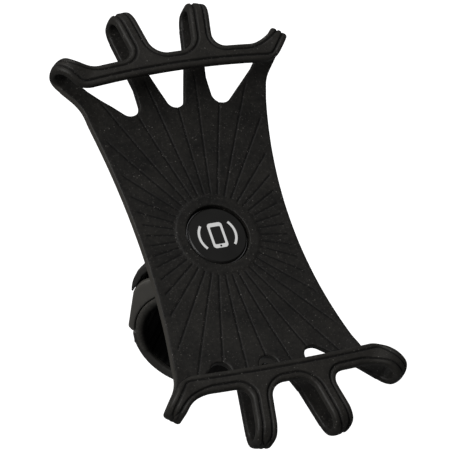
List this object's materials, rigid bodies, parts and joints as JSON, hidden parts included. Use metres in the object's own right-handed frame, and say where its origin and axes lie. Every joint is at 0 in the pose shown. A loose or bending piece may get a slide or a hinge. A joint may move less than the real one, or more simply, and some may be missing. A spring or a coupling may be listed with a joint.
{
  "type": "phone handlebar mount",
  "caption": "Silicone web phone holder on a ball joint over a hinged ratchet clamp for a handlebar.",
  "frame": {"origin": "centre of the handlebar bore", "axes": "+Z is the web's outward normal, +Y runs along the web's long way, +X across it"},
  "size_m": [0.0805, 0.1501, 0.0752],
  "materials": {
    "silicone": "matt moulded silicone with a faint dusty bloom",
    "moulded_plastic": "fine spark-eroded satin",
    "cap_plastic": "smooth satin",
    "nylon": "waxy satin",
    "liner_rubber": "matt ribbed rubber",
    "emblem_white": "printed white inlay",
    "steel": "zinc-plated",
    "black_steel": "black oxide",
    "spring_steel": "drawn wire"
  },
  "bodies": {
    "clamp": {"clamp_body": "moulded_plastic", "upper_liner": "liner_rubber", "hinge_pin": "black_steel", "lever_pin": "black_steel", "lever_spring": "spring_steel"},
    "nut": {"lock_nut": "moulded_plastic"},
    "collet": {"friction_collet": "nylon"},
    "stud": {"ball_stud": "nylon", "pivot_screw": "steel", "flat_washer": "steel", "wave_washer": "spring_steel"},
    "holder": {"silicone_web": "silicone", "front_cap": "cap_plastic", "cap_emblem": "emblem_white", "retaining_ring": "steel", "hub_plate": "moulded_plastic", "plate_screws": "steel"},
    "jaw": {"lower_jaw": "moulded_plastic", "jaw_liner": "liner_rubber"},
    "lever": {"release_lever": "moulded_plastic"}
  },
  "joints": [
    {"name": "ball_turn", "type": "hinge", "parent": "clamp", "child": "collet", "pos_m": [-0.00196, 0.01037, 0.02222], "axis": [-0.0796, 0.4215, 0.9033], "continuous": true},
    {"name": "ball_lean", "type": "hinge", "parent": "collet", "child": "stud", "pos_m": [-0.00196, 0.01037, 0.02222], "axis": [0.9826, 0.1857, 0], "range_deg": [-52.8, 2]},
    {"name": "holder_spin", "type": "hinge", "parent": "stud", "child": "holder", "pos_m": [-0.00196, 0.01037, 0.02222], "axis": [0, 0, 1], "continuous": true},
    {"name": "nut_turn", "type": "hinge", "parent": "clamp", "child": "nut", "pos_m": [-0.00196, 0.01037, 0.02222], "axis": [-0.0796, 0.4215, 0.9033], "range_deg": [0, 270]},
    {"name": "jaw_swing", "type": "hinge", "parent": "clamp", "child": "jaw", "pos_m": [0.01948, -0.01545, 0.00405], "axis": [-0.6316, -0.7225, 0.2814], "range_deg": [0, 100]},
    {"name": "lever_press", "type": "hinge", "parent": "clamp", "child": "lever", "pos_m": [-0.01401, 0.0155, 0.00836], "axis": [0.6316, 0.7225, -0.2814], "range_deg": [0, 8], "stiffness_Nm_per_rad": 0.1, "deforming": ["lever_spring"]}
  ]
}
